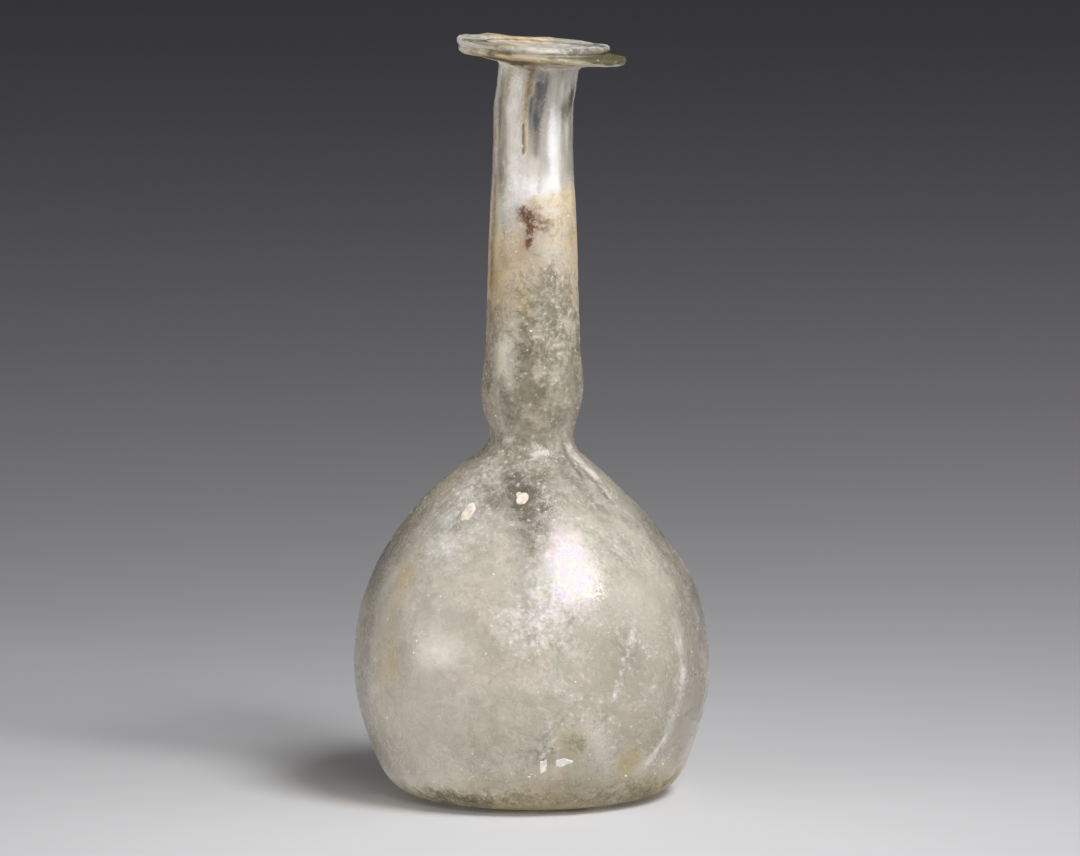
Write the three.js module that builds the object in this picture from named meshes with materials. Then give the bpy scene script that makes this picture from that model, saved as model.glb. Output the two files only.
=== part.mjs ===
// A free-blown glass perfume flask: a flattened globe of a body on a flat foot, a long neck that is
// nipped in where it meets the shoulder, and a wide rim folded up and inward into a double lip.
// It is one gather of glass, so it is one hollow solid, open at the mouth.
//
// Millimetres, +Z up. The origin is the centre of the foot, on the surface the flask stands on.
// +X is the side towards which the rim leans down.

import * as THREE from "three";

// ---- Driving sizes ----
const BELLY_RADIUS = 37.6;
const FOOT_RADIUS = 21.0; // outer edge of the flat ring that the flask stands on
const KICK_RADIUS = 14.0; // the hollow pushed up under the foot, inside that ring
const KICK_HEIGHT = 1.4;
const FLOOR_THICKNESS = 4.2;
const NECK_TOP_RADIUS = 8.4;
const NECK_TOP_HEIGHT = 150.8; // where the neck starts to spread into the rim

const RIM_RADIUS = 17.5;
const RIM_HEIGHT = 157.6; // middle of the folded lip
const RIM_THICKNESS = 3.1;
const RIM_UNDERSIDE_SLOPE = Math.tan(THREE.MathUtils.degToRad(8)); // rises outwards
const RIM_TILT = Math.tan(THREE.MathUtils.degToRad(4.5)); // falls towards +X
const RIM_OFFSET = new THREE.Vector2(2.1, 0.3); // from the body's axis to the rim's centre
const RIM_FILLET = 1.1; // inside round where the neck meets the rim
const FOLD_INNER_RADIUS = 12.7; // where the folded-in layer ends, on top of the rim
const FOLD_STEP = 0.8; // how far that layer stands above the rest of the rim
const FOLD_GROOVE_DEPTH = 0.45; // the seam round the outer edge, between the two layers
const UPPER_LAYER_INSET = 0.25; // how much less the upper layer reaches out than the lower
const MOUTH_RADIUS = 6.3;
const MOUTH_ROUND = 3.0; // round over from the top of the rim into the mouth
const MOUTH_DIP = 0.4; // how far the top falls from the fold to the start of that round

const TILT_START_HEIGHT = NECK_TOP_HEIGHT - 1.5; // the neck is upright below, the rim tilted above
const TILT_END_HEIGHT = RIM_HEIGHT - RIM_THICKNESS / 2;

const SEGMENTS = 48; // facets round the axis
const WALL_STEPS = 30; // chords up the outer wall; the inner wall has half as many
const ARC_STEPS = 4; // chords in each small round of the rim
const DOME_STEPS = [0, 0.3, 0.6, 0.85, 1]; // shares of the kick's radius that have a ring of vertices

// The outer wall from the foot's edge up: height, radius and wall thickness where they change.
const WALL = [
  { z: 0.0, r: FOOT_RADIUS, t: FLOOR_THICKNESS },
  { z: 0.4, r: 23.6, t: 4.3 },
  { z: 1.9, r: 28.9, t: 4.5 }, // heel
  { z: 4.4, r: 31.3, t: 4.6 },
  { z: 11.5, r: 34.3, t: 4.4 },
  { z: 19.0, r: 36.6, t: 4.1 },
  { z: 27.5, r: BELLY_RADIUS, t: 3.7 }, // belly
  { z: 36.0, r: 36.9, t: 3.2 },
  { z: 44.5, r: 34.7, t: 2.8 },
  { z: 53.0, r: 29.8, t: 2.5 },
  { z: 61.0, r: 23.5, t: 2.3 }, // shoulder
  { z: 67.0, r: 17.4, t: 2.2 },
  { z: 71.0, r: 12.6, t: 2.3 },
  { z: 73.3, r: 9.9, t: 2.3 },
  { z: 75.7, r: 8.75, t: 2.3 }, // nip
  { z: 78.0, r: 8.8, t: 2.3 },
  { z: 80.8, r: 9.7, t: 2.4 },
  { z: 84.8, r: 10.6, t: 2.5 }, // swelling above the nip
  { z: 91.0, r: 10.3, t: 2.4 },
  { z: 104.0, r: 9.65, t: 2.3 },
  { z: 122.0, r: 9.05, t: 2.2 },
  { z: 136.0, r: 8.45, t: 2.1 },
  { z: NECK_TOP_HEIGHT, r: NECK_TOP_RADIUS, t: NECK_TOP_RADIUS - MOUTH_RADIUS },
];

// The bubble inside sits off the outside's centre, so the wall is thicker on the +X side low down.
const BUBBLE_SHIFT = [
  { z: 4, x: -1.6 },
  { z: 16, x: -1.7 },
  { z: 34, x: -1.0 },
  { z: 58, x: 0 },
];

// Where the axis wanders from a straight line, as blown glass does: height and sideways shift.
const DRIFT = [
  { z: 0, x: 0.35, y: 0 },
  { z: 14, x: 0.1, y: 0 },
  { z: 44, x: 0, y: 0 },
  { z: 56, x: -0.7, y: 0.2 },
  { z: 66, x: -1.05, y: 0.3 },
  { z: 78, x: 0, y: 0.4 },
  { z: 92, x: 0.25, y: 0.1 },
  { z: 120, x: 0.2, y: -0.3 },
  { z: 145, x: 0.3, y: -0.2 },
  { z: 152, x: 1.1, y: 0 },
  { z: 157, x: RIM_OFFSET.x, y: RIM_OFFSET.y },
];

// Where the glass is out of round: height, how far up and down that reaches, by what share of the
// radius, and the direction in degrees from +X in which it is widest.
const OUT_OF_ROUND = [
  { z: 34, reach: 24, share: 0.008, towards: 45 }, // belly
  { z: 84, reach: 7, share: 0.015, towards: 0 }, // swelling above the nip
];

// ---- Small helpers ----

// Points from one angle to another, in degrees, on a circle in the profile's plane.
function arc(centreR, centreZ, radius, from, to) {
  return Array.from({ length: ARC_STEPS + 1 }, (_, i) => {
    const angle = THREE.MathUtils.degToRad(from + ((to - from) * i) / ARC_STEPS);
    return new THREE.Vector2(centreR + radius * Math.cos(angle), centreZ + radius * Math.sin(angle));
  });
}

// A smooth value at height z from rows that give it at rising heights.
function valueAt(rows, key, z) {
  const last = rows.length - 1;
  if (z <= rows[0].z) return rows[0][key];
  if (z >= rows[last].z) return rows[last][key];
  const i = rows.findIndex((row) => row.z > z) - 1;
  const share = THREE.MathUtils.smoothstep(z, rows[i].z, rows[i + 1].z);
  return THREE.MathUtils.lerp(rows[i][key], rows[i + 1][key], share);
}

// ---- Profile, as points of radius (x) and height (y) ----

// The outer wall from the foot's edge to the top of the neck, with the wall's thickness in z.
function outerWall() {
  const stations = WALL.map(({ r, z, t }) => new THREE.Vector3(r, z, t));
  return new THREE.CatmullRomCurve3(stations, false, "centripetal").getPoints(WALL_STEPS);
}

// The inner wall: each outer point moved inwards along the wall's normal by the wall's thickness,
// which is its z.
function innerWall(outer) {
  return outer.map((point, i) => {
    const before = outer[Math.max(i - 1, 0)];
    const after = outer[Math.min(i + 1, outer.length - 1)];
    const along = new THREE.Vector2(after.x - before.x, after.y - before.y).normalize();
    return new THREE.Vector2(point.x - along.y * point.z, point.y + along.x * point.z);
  });
}

// Height of the kick's smooth dome at a radius: full at the axis, nothing at the kick's edge.
function kickAt(r) {
  const share = Math.min(r / KICK_RADIUS, 1);
  return (KICK_HEIGHT * (1 + Math.cos(Math.PI * share))) / 2;
}

// The underside: the domed kick, out to where the flat ring begins.
function underside() {
  return DOME_STEPS.map((share) => new THREE.Vector2(KICK_RADIUS * share, kickAt(KICK_RADIUS * share)));
}

// The inside of the floor, from the flat ring to the axis, over the kick.
function floor() {
  return underside()
    .reverse()
    .map(({ x, y }) => new THREE.Vector2(x, y + FLOOR_THICKNESS));
}

// The rim: its sloping underside, the two layers of the fold with the seam between them, the step
// down from the fold, and the mouth.
function rim() {
  const lobe = RIM_THICKNESS / 4; // half the thickness of one layer
  const lipR = RIM_RADIUS - lobe;
  const low = RIM_HEIGHT - lobe;
  const high = RIM_HEIGHT + lobe;
  const top = high + lobe;
  const underside = (r) => low - lobe - (lipR - r) * RIM_UNDERSIDE_SLOPE;
  const mouthR = MOUTH_RADIUS + MOUTH_ROUND;
  return [
    ...arc(NECK_TOP_RADIUS + RIM_FILLET, underside(NECK_TOP_RADIUS) - RIM_FILLET, RIM_FILLET, 180, 100),
    new THREE.Vector2(FOLD_INNER_RADIUS, underside(FOLD_INNER_RADIUS)),
    ...arc(lipR, low, lobe, -78, 55),
    new THREE.Vector2(RIM_RADIUS - FOLD_GROOVE_DEPTH, RIM_HEIGHT),
    ...arc(lipR - UPPER_LAYER_INSET, high, lobe, -55, 90),
    ...arc(FOLD_INNER_RADIUS + FOLD_STEP / 2, top - FOLD_STEP / 2, FOLD_STEP / 2, 90, 270),
    ...arc(mouthR, top - FOLD_STEP - MOUTH_DIP - MOUTH_ROUND, MOUTH_ROUND, 90, 180),
  ];
}

// The outside, from the axis under the foot up to the mouth.
function outside() {
  return [...underside(), ...outerWall().map(({ x, y }) => new THREE.Vector2(x, y)), ...rim()];
}

// The inside, from under the mouth down to the axis on the floor.
function inside() {
  const wall = innerWall(outerWall()).filter((point, i) => i % 2 === 0);
  return [...wall.reverse(), ...floor()];
}

// ---- From a turned shape to a blown one ----

// How much wider than round the glass is at a height, in a direction given in radians from +X.
function stretchAt(z, angle) {
  return OUT_OF_ROUND.reduce((sum, bulge) => {
    const here = Math.exp(-(((z - bulge.z) / bulge.reach) ** 2));
    return sum + bulge.share * here * Math.cos(2 * (angle - THREE.MathUtils.degToRad(bulge.towards)));
  }, 1);
}

// Moves each vertex as the glass sagged and leaned: a body a little out of round, a bubble off its
// centre, a neck that wanders and swells unevenly over the nip, and a rim set to one side and tilted.
function slump(geometry, ringSize, innerStart) {
  const place = geometry.getAttribute("position");
  for (let i = 0; i < place.count; i++) {
    const x = place.getX(i);
    const y = place.getY(i);
    const z = place.getZ(i);
    const stretch = stretchAt(z, Math.atan2(y, x));
    const tilt = RIM_TILT * THREE.MathUtils.smoothstep(z, TILT_START_HEIGHT, TILT_END_HEIGHT);
    const isInner = i % ringSize >= innerStart;
    place.setXYZ(
      i,
      x * stretch + valueAt(DRIFT, "x", z) + (isInner ? valueAt(BUBBLE_SHIFT, "x", z) : 0),
      y * stretch + valueAt(DRIFT, "y", z),
      z - tilt * x,
    );
  }
  return geometry;
}

function flask() {
  const outer = outside();
  const profile = [...outer, ...inside()];
  const geometry = new THREE.LatheGeometry(profile, SEGMENTS).rotateX(Math.PI / 2);
  const glass = new THREE.MeshStandardMaterial({
    name: "weathered_glass",
    color: new THREE.Color(0.74, 0.73, 0.66),
    roughness: 0.28,
    metalness: 0,
    transparent: true,
    opacity: 0.6,
  });
  const mesh = new THREE.Mesh(slump(geometry, profile.length, outer.length), glass);
  mesh.name = "flask";
  return mesh;
}

const perfumeFlask = new THREE.Group();
perfumeFlask.add(flask());

export default perfumeFlask;
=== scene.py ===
"""A free-blown glass perfume flask with weathered walls, on a pale floor with a painted pool of light, in
soft studio light.

The flask is one closed skin: outer wall, folded rim and inner wall. The film, soil and stains that
lie on its walls, with painted highlights, reflections and shade among them, are point attributes
of that skin, which its material reads. Crusts and grains that stand proud of the outer wall are
small meshes of their own.
"""

import logging
import math
from dataclasses import dataclass, field, replace
from enum import Enum
from typing import Any

import bpy
import numpy as np
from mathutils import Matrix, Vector


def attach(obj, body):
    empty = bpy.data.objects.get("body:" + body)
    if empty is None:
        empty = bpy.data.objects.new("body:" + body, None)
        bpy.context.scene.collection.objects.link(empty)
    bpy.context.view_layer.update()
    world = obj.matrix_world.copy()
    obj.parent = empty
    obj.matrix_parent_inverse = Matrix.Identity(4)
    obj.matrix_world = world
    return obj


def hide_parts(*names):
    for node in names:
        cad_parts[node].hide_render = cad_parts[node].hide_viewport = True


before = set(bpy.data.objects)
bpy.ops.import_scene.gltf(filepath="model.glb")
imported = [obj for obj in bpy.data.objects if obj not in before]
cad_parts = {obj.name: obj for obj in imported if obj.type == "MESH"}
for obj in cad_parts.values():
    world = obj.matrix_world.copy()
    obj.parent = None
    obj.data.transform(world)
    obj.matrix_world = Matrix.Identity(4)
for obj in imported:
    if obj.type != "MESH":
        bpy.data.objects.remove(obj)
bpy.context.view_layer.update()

LOG = logging.getLogger("flask")
MM = 0.001
BODY = "root"


# ---------------------------------------------------------------- numbers and noise


def smoothstep(low: float | np.ndarray, high: float | np.ndarray, value: np.ndarray) -> np.ndarray:
    """Rises smoothly from 0 at low to 1 at high, as a cubic with flat ends."""
    share = np.clip((value - low) / (high - low), 0.0, 1.0)
    return share * share * (3.0 - 2.0 * share)


def hashed(x: np.ndarray, y: np.ndarray, z: np.ndarray, seed: int) -> np.ndarray:
    """Gives each whole-number point of a lattice its own random value.

    Args:
        x, y, z: Whole-number coordinates.
        seed: Chooses the set of values.

    Returns:
        Values from 0 to 1, from an integer mixing of the coordinates.
    """
    mixed = (x * 374761393 + y * 668265263 + z * 1442695041 + seed * 974634777) & 0xFFFFFFFF
    mixed = ((mixed ^ (mixed >> 13)) * 1274126177) & 0xFFFFFFFF
    mixed = ((mixed ^ (mixed >> 16)) * 2246822519) & 0xFFFFFFFF
    return (mixed ^ (mixed >> 15)) / 0xFFFFFFFF


def value_noise(points: np.ndarray, seed: int) -> np.ndarray:
    """Smooth noise: the eight lattice values round each point, blended by smooth cubic weights.

    Args:
        points: Positions, with x, y and z on the last axis.
        seed: Chooses the noise.

    Returns:
        One value from 0 to 1 for each position.
    """
    cell = np.floor(points).astype(np.int64)
    part = smoothstep(0.0, 1.0, points - cell)
    total = np.zeros(points.shape[:-1])
    for corner in np.ndindex(2, 2, 2):
        weight = np.prod(np.where(np.array(corner) == 1, part, 1.0 - part), axis=-1)
        total += weight * hashed(*np.moveaxis(cell + corner, -1, 0), seed)
    return total


def fractal(points: np.ndarray, size: float, octaves: int, seed: int) -> np.ndarray:
    """Adds octaves of value noise, each half the size and half the strength of the one before.

    Args:
        points: Positions in millimetres.
        size: Width of the largest lumps, in millimetres.
        octaves: How many layers are added.
        seed: Chooses the noise.

    Returns:
        Values round 0, mostly from -1 to 1.
    """
    total = np.zeros(points.shape[:-1])
    for octave in range(octaves):
        scale = 2.0**octave
        total += (2.0 * value_noise(points * scale / size + 17.0 * octave, seed + octave) - 1.0) / scale
    return total


def spline(knots: np.ndarray, values: np.ndarray, at: np.ndarray) -> np.ndarray:
    """A natural cubic spline, whose second derivative is 0 at both ends.

    Args:
        knots: Rising parameters.
        values: One row of values for each knot.
        at: Where the curve is wanted.

    Returns:
        One row of values for each entry of at.
    """
    gap = np.diff(knots)
    slope = np.diff(values, axis=0) / gap[:, None]
    system = np.eye(len(knots))
    right = np.zeros_like(values)
    inner = np.arange(1, len(knots) - 1)
    system[inner, inner - 1] = gap[:-1]
    system[inner, inner] = 2.0 * (gap[:-1] + gap[1:])
    system[inner, inner + 1] = gap[1:]
    right[1:-1] = 6.0 * np.diff(slope, axis=0)
    bend = np.linalg.solve(system, right)
    i = np.clip(np.searchsorted(knots, at, side="right") - 1, 0, len(gap) - 1)
    step, after, before = gap[i][:, None], (at - knots[i])[:, None], (knots[i + 1] - at)[:, None]
    return (
        (bend[i] * before**3 + bend[i + 1] * after**3) / (6.0 * step)
        + (values[i] / step - bend[i] * step / 6.0) * before
        + (values[i + 1] / step - bend[i + 1] * step / 6.0) * after
    )


def turned_difference(angle: np.ndarray, other: float | np.ndarray) -> np.ndarray:
    """The turn from one direction to another, in degrees from -180 to 180."""
    return (angle - other + 180.0) % 360.0 - 180.0


# ---------------------------------------------------------------- shader graphs as expressions


class Wire:
    """One output socket of a shader graph, on which arithmetic adds Math nodes."""

    def __init__(self, graph: "Graph", socket: bpy.types.NodeSocket) -> None:
        """Keeps the graph and the socket."""
        self.graph = graph
        self.socket = socket

    def __add__(self, other: "Wire | float") -> "Wire":
        """Sum."""
        return self.graph.math("ADD", self, other)

    __radd__ = __add__

    def __mul__(self, other: "Wire | float") -> "Wire":
        """Product."""
        return self.graph.math("MULTIPLY", self, other)

    __rmul__ = __mul__

    def __sub__(self, other: "Wire | float") -> "Wire":
        """Difference."""
        return self.graph.math("SUBTRACT", self, other)

    def __rsub__(self, other: float) -> "Wire":
        """Difference from a number."""
        return self.graph.math("SUBTRACT", other, self)

    def __truediv__(self, other: "Wire | float") -> "Wire":
        """Quotient."""
        return self.graph.math("DIVIDE", self, other)

    def __pow__(self, power: float) -> "Wire":
        """Power."""
        return self.graph.math("POWER", self, power)

    def rise(self, low: float, high: float) -> "Wire":
        """Rises smoothly from 0 where this is low to 1 where it is high."""
        return self.graph.node(
            "ShaderNodeMapRange",
            {"interpolation_type": "SMOOTHSTEP"},
            {"Value": self, "From Min": low, "From Max": high},
        )


class Graph:
    """The node tree of one material."""

    def __init__(self, name: str) -> None:
        """Makes the material and empties its tree."""
        self.material = bpy.data.materials.new(name)
        self.material.use_nodes = True
        self.tree = self.material.node_tree
        self.tree.nodes.clear()
        self.place = self.node("ShaderNodeTexCoord", out="Object")

    def node(
        self,
        kind: str,
        settings: dict[str, Any] | None = None,
        inputs: dict[str, Any] | None = None,
        out: str | None = None,
    ) -> Wire:
        """Adds a node.

        Args:
            kind: The node's type.
            settings: Its properties, which are set first.
            inputs: A value or a Wire for each named input socket.
            out: Which output is wanted; the first live one if left out.

        Returns:
            That output.
        """
        made = self.tree.nodes.new(kind)
        for key, value in (settings or {}).items():
            setattr(made, key, value)
        for key, value in (inputs or {}).items():
            socket = next(s for s in made.inputs if s.enabled and key in (s.identifier, s.name))
            if isinstance(value, Wire):
                self.tree.links.new(value.socket, socket)
            else:
                socket.default_value = value
        live = [s for s in made.outputs if s.enabled]
        return Wire(self, next((s for s in live if out in (s.identifier, s.name)), live[0] if live else None))

    def math(self, operation: str, a: Wire | float, b: Wire | float) -> Wire:
        """Adds a Math node."""
        return self.node("ShaderNodeMath", {"operation": operation}, {"Value": a, "Value_001": b})

    def blend(self, share: Wire | float, a: Any, b: Any) -> Wire:
        """Mixes two colours: a where share is 0 and b where it is 1."""
        return self.node(
            "ShaderNodeMix",
            {"data_type": "RGBA"},
            {"Factor_Float": share, "A_Color": a, "B_Color": b},
            "Result_Color",
        )

    def noise(self, size: float, detail: float = 3.0, rough: float = 0.55, distortion: float = 0.0) -> Wire:
        """Noise on Object coordinates, with lumps of about size millimetres."""
        return self.node(
            "ShaderNodeTexNoise",
            inputs={
                "Vector": self.place,
                "Scale": 1.0 / (size * MM),
                "Detail": detail,
                "Roughness": rough,
                "Distortion": distortion,
            },
        )

    def attribute(self, name: str) -> Wire:
        """One of the skin's own point attributes."""
        return self.node("ShaderNodeAttribute", {"attribute_name": name}, out="Fac")

    def ray(self, kind: str) -> Wire:
        """1 for one kind of ray and 0 for the others."""
        return self.node("ShaderNodeLightPath", out=kind)

    def mix(self, share: Wire | float, a: Wire, b: Wire) -> Wire:
        """Mixes two shaders."""
        return self.node("ShaderNodeMixShader", inputs={"Fac": share, "Shader": a, "Shader_001": b})

    def finish(self, surface: Wire, volume: Wire | None = None) -> bpy.types.Material:
        """Wires the output and gives the material."""
        inputs = {"Surface": surface}
        if volume:
            inputs["Volume"] = volume
        self.node("ShaderNodeOutputMaterial", inputs=inputs)
        return self.material


# ---------------------------------------------------------------- the blown form


@dataclass(frozen=True)
class Station:
    """A ring of the outer wall: height, radius and wall thickness, in millimetres."""

    z: float
    r: float
    t: float


@dataclass(frozen=True)
class Bulge:
    """Where the glass is out of round: height, reach, share of the radius and widest direction."""

    z: float
    reach: float
    share: float
    towards: float


@dataclass(frozen=True)
class Skin:
    """A closed grid of points, one row for each ring of the profile and one column for each direction.

    Its first and last rows are closed by a point on the axis.
    """

    points: np.ndarray
    bearing: np.ndarray
    height: np.ndarray
    inside: np.ndarray
    outer_rows: slice
    rim_rows: slice

    def normals(self) -> np.ndarray:
        """Unit normals: the column direction crossed with the row direction, by differences."""
        across = np.roll(self.points, -1, axis=1) - np.roll(self.points, 1, axis=1)
        along = np.gradient(self.points, axis=0)
        normal = np.cross(across, along)
        return normal / np.maximum(np.linalg.norm(normal, axis=-1, keepdims=True), 1e-12)

    def at(self, row: np.ndarray, bearing: np.ndarray) -> tuple[np.ndarray, np.ndarray]:
        """Points and normals of the skin between its grid points.

        Args:
            row: Fractional row.
            bearing: Direction in degrees from the front towards +X.

        Returns:
            Points and unit normals, by blending the four grid points round each place.
        """
        rows, columns = self.points.shape[:2]
        turn = (bearing / 360.0 * columns) % columns
        i = np.clip(np.floor(row).astype(int), 0, rows - 2)
        j = np.floor(turn).astype(int) % columns
        up, side = (row - i)[..., None], (turn - np.floor(turn))[..., None]
        found = []
        for values in (self.points, self.normals()):
            low = values[i, j] * (1 - side) + values[i, (j + 1) % columns] * side
            high = values[i + 1, j] * (1 - side) + values[i + 1, (j + 1) % columns] * side
            found.append(low * (1 - up) + high * up)
        found[1] = found[1] / np.linalg.norm(found[1], axis=-1, keepdims=True)
        return found[0], found[1]

    def row_at(self, z: np.ndarray) -> np.ndarray:
        """The fractional row of the outer wall at a height in millimetres."""
        heights = self.height[self.outer_rows, 0]
        return np.interp(z, heights, np.arange(self.outer_rows.start, self.outer_rows.stop))


@dataclass(frozen=True)
class BlownForm:
    """The flask's shape, in millimetres and degrees, as the CAD source has it."""

    kick_radius: float = 14.0
    kick_height: float = 1.4
    floor_thickness: float = 4.2
    neck_top_radius: float = 8.4
    neck_top_height: float = 150.8
    rim_radius: float = 17.5
    rim_height: float = 157.6
    rim_thickness: float = 3.1
    rim_underside_slope: float = math.tan(math.radians(8.0))
    rim_tilt: float = math.tan(math.radians(4.5))
    rim_fillet: float = 1.1
    fold_inner_radius: float = 12.7
    fold_step: float = 0.8
    groove_depth: float = 0.45
    rim_waves: float = 0.18
    gape_towards: float = -12.0
    gape_rise: float = 0.45
    gape_short: float = 3.9
    gape_pull: float = 1.3
    overhang: float = 0.3
    mouth_radius: float = 6.3
    mouth_round: float = 3.0
    mouth_dip: float = 0.4
    wall: tuple[Station, ...] = (
        Station(0.0, 21.0, 4.2),
        Station(0.4, 23.6, 4.3),
        Station(1.9, 28.9, 4.5),
        Station(4.4, 31.3, 4.6),
        Station(11.5, 34.3, 4.4),
        Station(19.0, 36.6, 4.1),
        Station(27.5, 37.6, 3.7),
        Station(36.0, 36.9, 3.2),
        Station(44.5, 34.7, 2.8),
        Station(53.0, 29.8, 2.5),
        Station(61.0, 23.5, 2.3),
        Station(67.0, 17.4, 2.2),
        Station(71.0, 12.6, 2.3),
        Station(73.3, 9.9, 2.3),
        Station(75.7, 8.75, 2.3),
        Station(78.0, 8.8, 2.3),
        Station(80.8, 9.7, 2.4),
        Station(84.8, 10.6, 2.5),
        Station(91.0, 10.3, 2.4),
        Station(104.0, 9.65, 2.3),
        Station(122.0, 9.05, 2.2),
        Station(136.0, 8.45, 2.1),
        Station(150.8, 8.4, 2.1),
    )
    bubble_shift: tuple[tuple[float, float], ...] = ((4.0, -1.6), (16.0, -1.7), (34.0, -1.0), (58.0, 0.0))
    drift: tuple[tuple[float, float, float], ...] = (
        (0.0, 0.35, 0.0),
        (14.0, 0.1, 0.0),
        (44.0, 0.0, 0.0),
        (56.0, -0.7, 0.2),
        (66.0, -1.05, 0.3),
        (78.0, 0.0, 0.4),
        (92.0, 0.25, 0.1),
        (120.0, 0.2, -0.3),
        (145.0, 0.3, -0.2),
        (152.0, 1.1, 0.0),
        (157.0, 2.1, 0.3),
    )
    bulges: tuple[Bulge, ...] = (Bulge(34.0, 24.0, 0.008, 45.0), Bulge(84.0, 7.0, 0.015, 0.0))
    columns: int = 264
    outer_count: int = 208
    inner_count: int = 84
    arc_count: int = 9

    def eased(self, rows: tuple[tuple[float, ...], ...], part: int, z: np.ndarray) -> np.ndarray:
        """A value from rows at rising heights, eased smoothly from each row to the next."""
        heights = np.array([row[0] for row in rows])
        values = np.array([row[part] for row in rows])
        i = np.clip(np.searchsorted(heights, z, side="right") - 1, 0, len(rows) - 2)
        return values[i] + (values[i + 1] - values[i]) * smoothstep(heights[i], heights[i + 1], z)

    def outer_wall(self, count: int) -> np.ndarray:
        """Rows of radius, height and thickness up the outer wall: a spline through the stations."""
        stations = np.array([(s.r, s.z, s.t) for s in self.wall])
        chords = np.linalg.norm(np.diff(stations[:, :2], axis=0), axis=1)
        knots = np.concatenate([[0.0], np.cumsum(chords)])
        return spline(knots, stations, np.linspace(0.0, knots[-1], count))

    def inner_wall(self, count: int) -> np.ndarray:
        """Rows of radius and height: the outer wall moved in along its normal by the thickness."""
        rows = self.outer_wall(count)
        along = np.gradient(rows[:, :2], axis=0)
        along /= np.linalg.norm(along, axis=1, keepdims=True)
        return rows[:, :2] + np.stack([-along[:, 1], along[:, 0]], axis=1) * rows[:, 2:]

    def kick(self) -> np.ndarray:
        """Rows of radius and height of the hollow under the foot, a half wave, out to the flat ring."""
        r = np.linspace(0.08, 1.0, 12) * self.kick_radius
        z = self.kick_height * (1.0 + np.cos(np.pi * r / self.kick_radius)) / 2.0
        ring = np.linspace(self.kick_radius, self.wall[0].r, 6)[1:-1]
        return np.concatenate([np.stack([r, z], 1), np.stack([ring, 0.0 * ring], 1)])

    def arc(self, r: Any, z: Any, radius: Any, start: float, end: float) -> np.ndarray:
        """Points from one angle to another on a circle in the profile's plane, one column a direction."""
        angle = np.radians(np.linspace(start, end, self.arc_count))[:, None]
        flat = np.zeros(self.columns)
        return np.stack([r + radius * np.cos(angle) + flat, z + radius * np.sin(angle) + flat], axis=-1)

    def rim(self, azimuth: np.ndarray) -> np.ndarray:
        """The folded rim from the top of the neck to the mouth.

        The outer edge is two rounded layers with a seam between them. The upper layer stands a little
        over the lower one, and falls short of it by more and more towards +X, where the seam gapes.

        Args:
            azimuth: Direction of each column, in radians from +X.

        Returns:
            Radius and height for each ring and column.
        """
        gape = (0.5 + 0.5 * np.cos(azimuth - math.radians(self.gape_towards))) ** 3
        short = self.gape_short * gape - self.overhang
        lobe = self.rim_thickness / 4.0
        reach = self.rim_radius + self.rim_waves * np.cos(3.0 * azimuth + 1.0) - lobe
        low, high = self.rim_height - lobe, self.rim_height + lobe + self.gape_rise * gape
        top = high + lobe

        def underside(r: Any) -> Any:
            """Height of the rim's sloping underside at a radius."""
            return low - lobe - (reach - r) * self.rim_underside_slope

        def ring(r: Any, z: Any) -> np.ndarray:
            """One ring of the same radius and height all round, or one for each column."""
            return np.stack(np.broadcast_arrays(r, z, azimuth)[:2], axis=-1)[None]

        neck = self.neck_top_radius
        fold = self.fold_inner_radius - self.gape_pull * gape
        step = self.fold_step / 2.0
        groove = self.rim_radius - self.groove_depth - 0.8 * short
        mouth = self.mouth_radius + self.mouth_round
        dish = top - self.fold_step - self.mouth_dip
        spans = [fold + share * (reach - 1.2 - fold) for share in (0.0, 0.5, 1.0)]
        bridge = [ring(r, underside(r)) for r in spans]
        mid = [ring(mouth + share * (fold + step - mouth), dish + self.mouth_dip * share)
               for share in (0.7, 0.35)]
        return np.concatenate([
            self.arc(neck + self.rim_fillet, underside(neck) - self.rim_fillet, self.rim_fillet, 180, 100),
            *bridge,
            self.arc(reach, low, lobe, -78, 58),
            ring(groove, self.rim_height),
            self.arc(reach - short, high, lobe, -58, 90),
            *[ring(fold + step + share * (reach - short - fold - step), top) for share in (0.66, 0.33)],
            self.arc(fold + step, top - step, step, 90, 250),
            *mid,
            self.arc(mouth, dish - self.mouth_round, self.mouth_round, 90, 180),
        ])

    def slump(self, rings: np.ndarray, azimuth: np.ndarray, inside: np.ndarray) -> np.ndarray:
        """Turns the profile and moves it as the soft glass sagged and leaned.

        Each radius is stretched out of round, each ring is shifted by the drift and, inside, by the
        bubble's shift, and the rim is tilted down towards +X.

        Args:
            rings: Radius and height for each ring and column.
            azimuth: Direction of each column, in radians from +X.
            inside: Whether each ring is on the inner wall.

        Returns:
            Points in millimetres.
        """
        r, z = rings[..., 0], rings[..., 1]
        stretch = np.ones_like(r)
        for bulge in self.bulges:
            here = np.exp(-(((z - bulge.z) / bulge.reach) ** 2))
            stretch += bulge.share * here * np.cos(2.0 * (azimuth - math.radians(bulge.towards)))
        start, end = self.neck_top_height - 1.5, self.rim_height - self.rim_thickness / 2.0
        x, y = r * np.cos(azimuth), r * np.sin(azimuth)
        shift = np.where(inside[:, None], self.eased(self.bubble_shift, 1, z), 0.0)
        return np.stack([
            x * stretch + self.eased(self.drift, 1, z) + shift,
            y * stretch + self.eased(self.drift, 2, z),
            z - self.rim_tilt * smoothstep(start, end, z) * x,
        ], axis=-1)

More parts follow.
